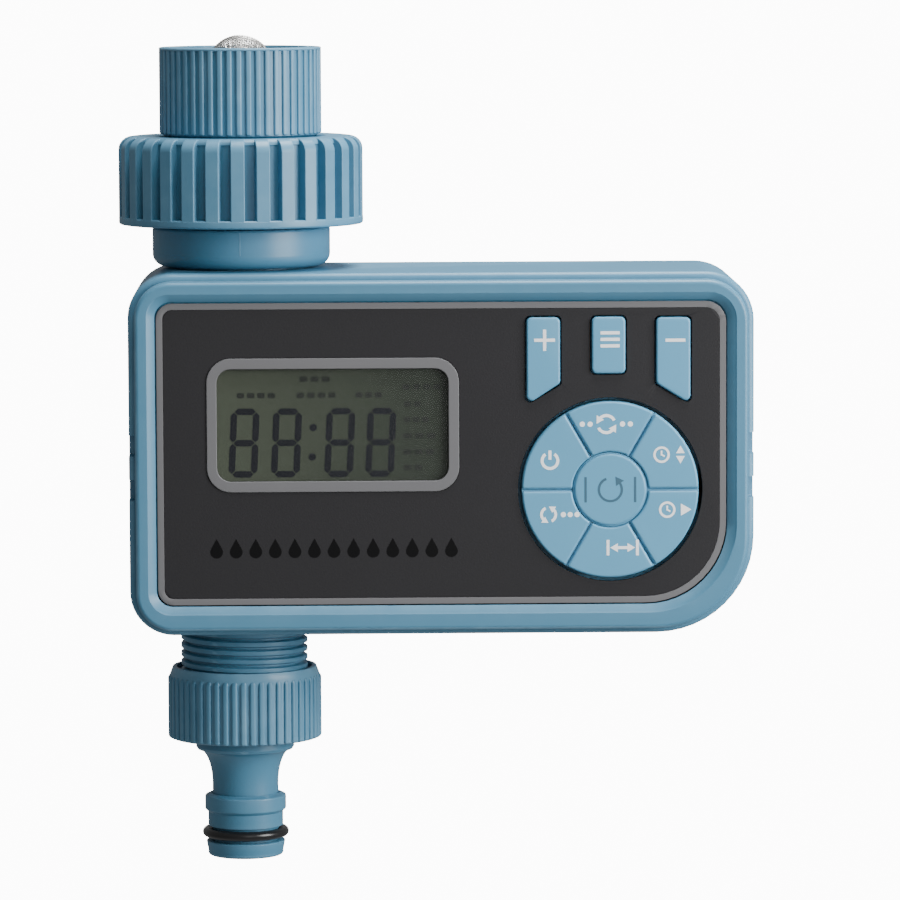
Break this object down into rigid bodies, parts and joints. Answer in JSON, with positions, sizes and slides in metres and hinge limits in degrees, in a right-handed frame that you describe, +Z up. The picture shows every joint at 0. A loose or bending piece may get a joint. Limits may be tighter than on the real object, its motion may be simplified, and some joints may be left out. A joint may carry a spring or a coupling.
{
  "type": "irrigation timer",
  "caption": "Tap-mounted irrigation timer: a rounded box with a pull-off control module and motor ball valve, swivel nut and tap adaptor above, hose connector below.",
  "frame": {"origin": "centre of the inlet rim, on the axis of the waterway", "axes": "+Z up along the waterway towards the tap, -Y out of the control panel, +X along the casing away from the waterway"},
  "size_m": [0.1305, 0.0544, 0.1716],
  "materials": {
    "blue": "fine satin",
    "pale_blue": "satin",
    "charcoal": "fine matt grain",
    "grey": "satin",
    "black_rubber": "satin",
    "stainless": "woven or machined",
    "white_plastic": "natural",
    "clear_window": "clear gloss",
    "display": "grey green",
    "board_green": "solder mask",
    "cell_wrap": "printed sleeve",
    "red_wire": "wire sleeve"
  },
  "bodies": {
    "housing": {"rear_housing": "blue", "drive_cover": "white_plastic", "cover_screw_1": "stainless", "cover_screw_2": "stainless", "cover_screw_3": "stainless", "valve_body_upper": "blue", "valve_body_lower": "blue", "upper_seat": "white_plastic", "lower_seat": "white_plastic", "nut_retaining_ring": "white_plastic", "inlet_washer": "black_rubber", "stem_o_ring": "black_rubber", "gear_plate": "white_plastic", "gear_pin_1": "stainless", "gear_pin_2": "stainless", "motor": "stainless", "contact_socket": "charcoal", "motor_lead_red": "red_wire", "motor_lead_black": "black_rubber"},
    "valve_rotor": {"valve_ball": "stainless", "valve_stem": "stainless", "output_gear": "white_plastic"},
    "compound_gear_1": {"compound_gear_1": "white_plastic"},
    "compound_gear_2": {"compound_gear_2": "white_plastic"},
    "motor_rotor": {"motor_pinion": "stainless"},
    "swivel_nut": {"swivel_nut": "blue"},
    "inlet_filter": {"filter_washer": "black_rubber", "filter_dome": "stainless"},
    "tap_adaptor": {"tap_adaptor": "blue"},
    "outlet_washer": {"outlet_washer": "black_rubber"},
    "hose_connector": {"hose_connector": "blue", "connector_o_ring": "black_rubber"},
    "control_module": {"control_bezel": "blue", "panel_overlay": "charcoal", "lcd_frame": "grey", "lcd_window": "clear_window", "lcd_display": "display", "keypad_mat": "pale_blue", "circuit_board": "board_green", "front_seal": "black_rubber", "module_back": "charcoal", "module_screw_1": "stainless", "module_screw_2": "stainless", "battery_1": "cell_wrap", "battery_2": "cell_wrap", "battery_spring": "stainless", "battery_tab": "stainless", "contact_plug": "white_plastic"},
    "battery_lid": {"battery_lid": "charcoal"},
    "plus_key": {"plus_key": "pale_blue"},
    "mode_key": {"mode_key": "pale_blue"},
    "minus_key": {"minus_key": "pale_blue"},
    "auto_key": {"auto_key": "pale_blue"},
    "set_clock_key": {"set_clock_key": "pale_blue"},
    "start_time_key": {"start_time_key": "pale_blue"},
    "how_long_key": {"how_long_key": "pale_blue"},
    "how_often_key": {"how_often_key": "pale_blue"},
    "off_key": {"off_key": "pale_blue"},
    "reset_key": {"reset_key": "pale_blue"}
  },
  "joints": [
    {"name": "motor_spin", "type": "hinge", "parent": "housing", "child": "motor_rotor", "pos_m": [0.033, 0, -0.06788], "axis": [1, 0, 0], "continuous": true},
    {"name": "gear_2_spin", "type": "hinge", "parent": "housing", "child": "compound_gear_2", "pos_m": [0.03, 0.0045, -0.08219], "axis": [1, 0, 0], "continuous": true},
    {"name": "gear_1_spin", "type": "hinge", "parent": "housing", "child": "compound_gear_1", "pos_m": [0.025, 0, -0.0965], "axis": [1, 0, 0], "continuous": true},
    {"name": "valve_turn", "type": "hinge", "parent": "housing", "child": "valve_rotor", "pos_m": [0, 0, -0.08], "axis": [1, 0, 0], "continuous": true},
    {"name": "nut_swivel", "type": "hinge", "parent": "housing", "child": "swivel_nut", "pos_m": [0, 0, -0.0275], "axis": [0, 0, 1], "continuous": true},
    {"name": "adaptor_lift", "type": "slide", "parent": "swivel_nut", "child": "inlet_filter", "axis": [0, 0, 1], "range_m": [0, 0.00924]},
    {"name": "adaptor_unscrew", "type": "hinge", "parent": "inlet_filter", "child": "tap_adaptor", "pos_m": [0, 0, 0], "axis": [0, 0, 1], "range_deg": [0, 1440]},
    {"name": "connector_drop", "type": "slide", "parent": "housing", "child": "outlet_washer", "axis": [0, 0, -1], "range_m": [0, 0.01088]},
    {"name": "connector_unscrew", "type": "hinge", "parent": "outlet_washer", "child": "hose_connector", "pos_m": [0, 0, -0.14], "axis": [0, 0, -1], "range_deg": [0, 2160]},
    {"name": "module_pull", "type": "slide", "parent": "housing", "child": "control_module", "axis": [0, -1, 0], "range_m": [0, 0.045]},
    {"name": "lid_pull", "type": "slide", "parent": "control_module", "child": "battery_lid", "axis": [0, 1, 0], "range_m": [0, 0.018]},
    {"name": "plus_press", "type": "slide", "parent": "control_module", "child": "plus_key", "axis": [0, 1, 0], "range_m": [0, 0.001], "stiffness_N_per_m": 1500},
    {"name": "mode_press", "type": "slide", "parent": "control_module", "child": "mode_key", "axis": [0, 1, 0], "range_m": [0, 0.001], "stiffness_N_per_m": 1500},
    {"name": "minus_press", "type": "slide", "parent": "control_module", "child": "minus_key", "axis": [0, 1, 0], "range_m": [0, 0.001], "stiffness_N_per_m": 1500},
    {"name": "auto_press", "type": "slide", "parent": "control_module", "child": "auto_key", "axis": [0, 1, 0], "range_m": [0, 0.001], "stiffness_N_per_m": 1500},
    {"name": "set_clock_press", "type": "slide", "parent": "control_module", "child": "set_clock_key", "axis": [0, 1, 0], "range_m": [0, 0.001], "stiffness_N_per_m": 1500},
    {"name": "start_time_press", "type": "slide", "parent": "control_module", "child": "start_time_key", "axis": [0, 1, 0], "range_m": [0, 0.001], "stiffness_N_per_m": 1500},
    {"name": "how_long_press", "type": "slide", "parent": "control_module", "child": "how_long_key", "axis": [0, 1, 0], "range_m": [0, 0.001], "stiffness_N_per_m": 1500},
    {"name": "how_often_press", "type": "slide", "parent": "control_module", "child": "how_often_key", "axis": [0, 1, 0], "range_m": [0, 0.001], "stiffness_N_per_m": 1500},
    {"name": "off_press", "type": "slide", "parent": "control_module", "child": "off_key", "axis": [0, 1, 0], "range_m": [0, 0.001], "stiffness_N_per_m": 1500},
    {"name": "reset_press", "type": "slide", "parent": "control_module", "child": "reset_key", "axis": [0, 1, 0], "range_m": [0, 0.001], "stiffness_N_per_m": 1500}
  ],
  "couplings": [
    {"joint": "gear_2_spin", "follows": "motor_spin", "ratio": -0.42857},
    {"joint": "gear_1_spin", "follows": "motor_spin", "ratio": 0.18367},
    {"joint": "valve_turn", "follows": "motor_spin", "ratio": -0.068878},
    {"joint": "adaptor_unscrew", "follows": "adaptor_lift", "rad_per_m": 2720.9},
    {"joint": "connector_unscrew", "follows": "connector_drop", "rad_per_m": 3463.4}
  ]
}
